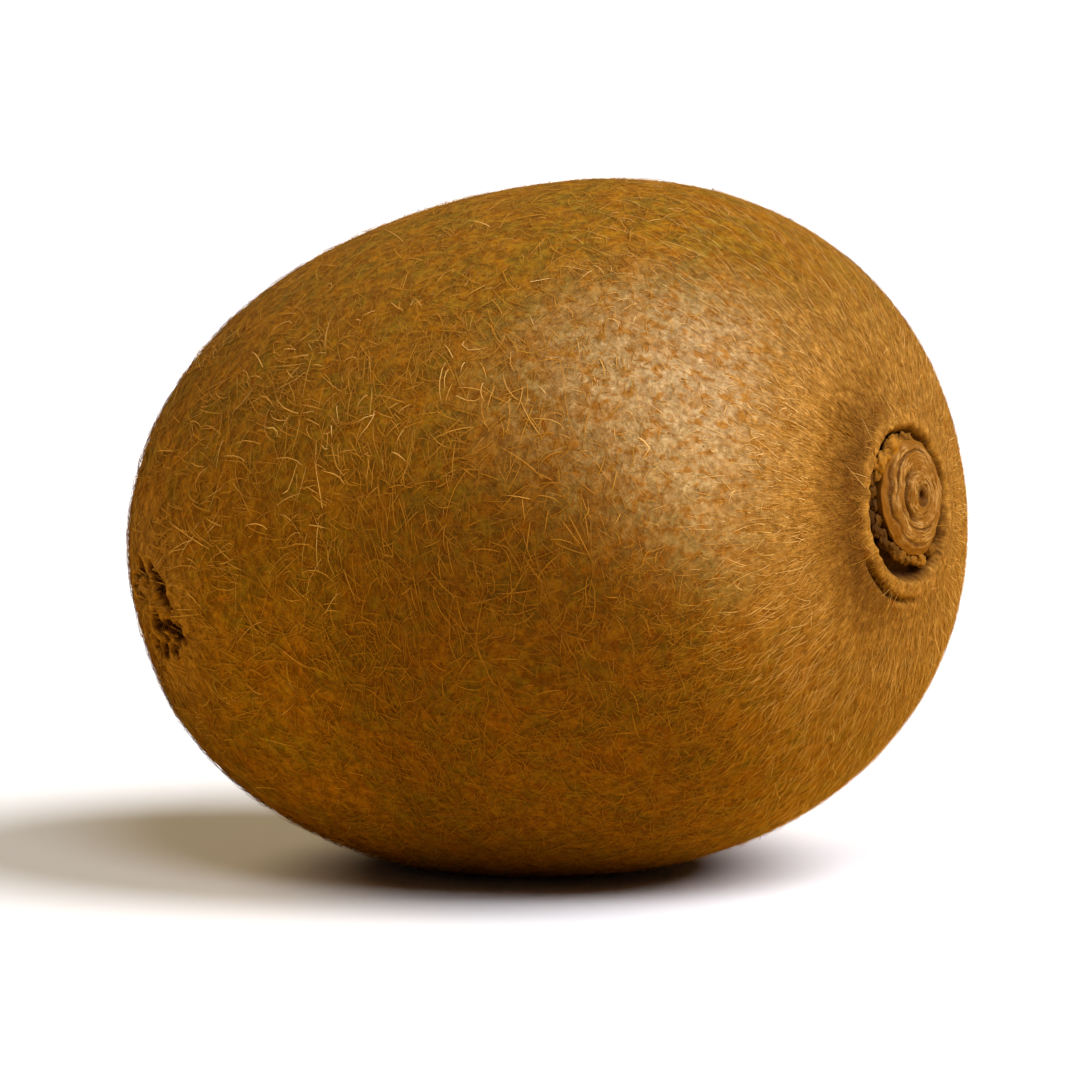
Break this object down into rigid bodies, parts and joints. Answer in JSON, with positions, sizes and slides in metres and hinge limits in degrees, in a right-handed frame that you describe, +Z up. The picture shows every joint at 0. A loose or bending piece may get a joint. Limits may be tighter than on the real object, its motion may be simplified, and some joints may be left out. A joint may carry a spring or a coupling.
{
  "type": "kiwi fruit",
  "caption": "Whole fuzzy kiwi fruit: a blunt oval with a woody stem scar in a trench at one end and a small blossom scar at the other, resting on a small flat spot.",
  "frame": {"origin": "middle of the flat spot that the fruit rests on, under its centre of mass to within about 3 mm", "axes": "+X along the fruit's length towards the stem scar, +Y away from the side that both scars lean towards, +Z up"},
  "size_m": [0.064, 0.055, 0.053],
  "materials": {
    "kiwi_skin": "thin olive-brown skin with a soft sheen and darker freckles",
    "fuzz": "matt golden-brown hairs",
    "stem_wood": "dry matt wood of the stem scar, with growth rings",
    "dried_stubs": "dark shrivelled stubs of the sepals and styles"
  },
  "bodies": {
    "root": {"kiwi_fruit": "kiwi_skin"}
  },
  "joints": []
}
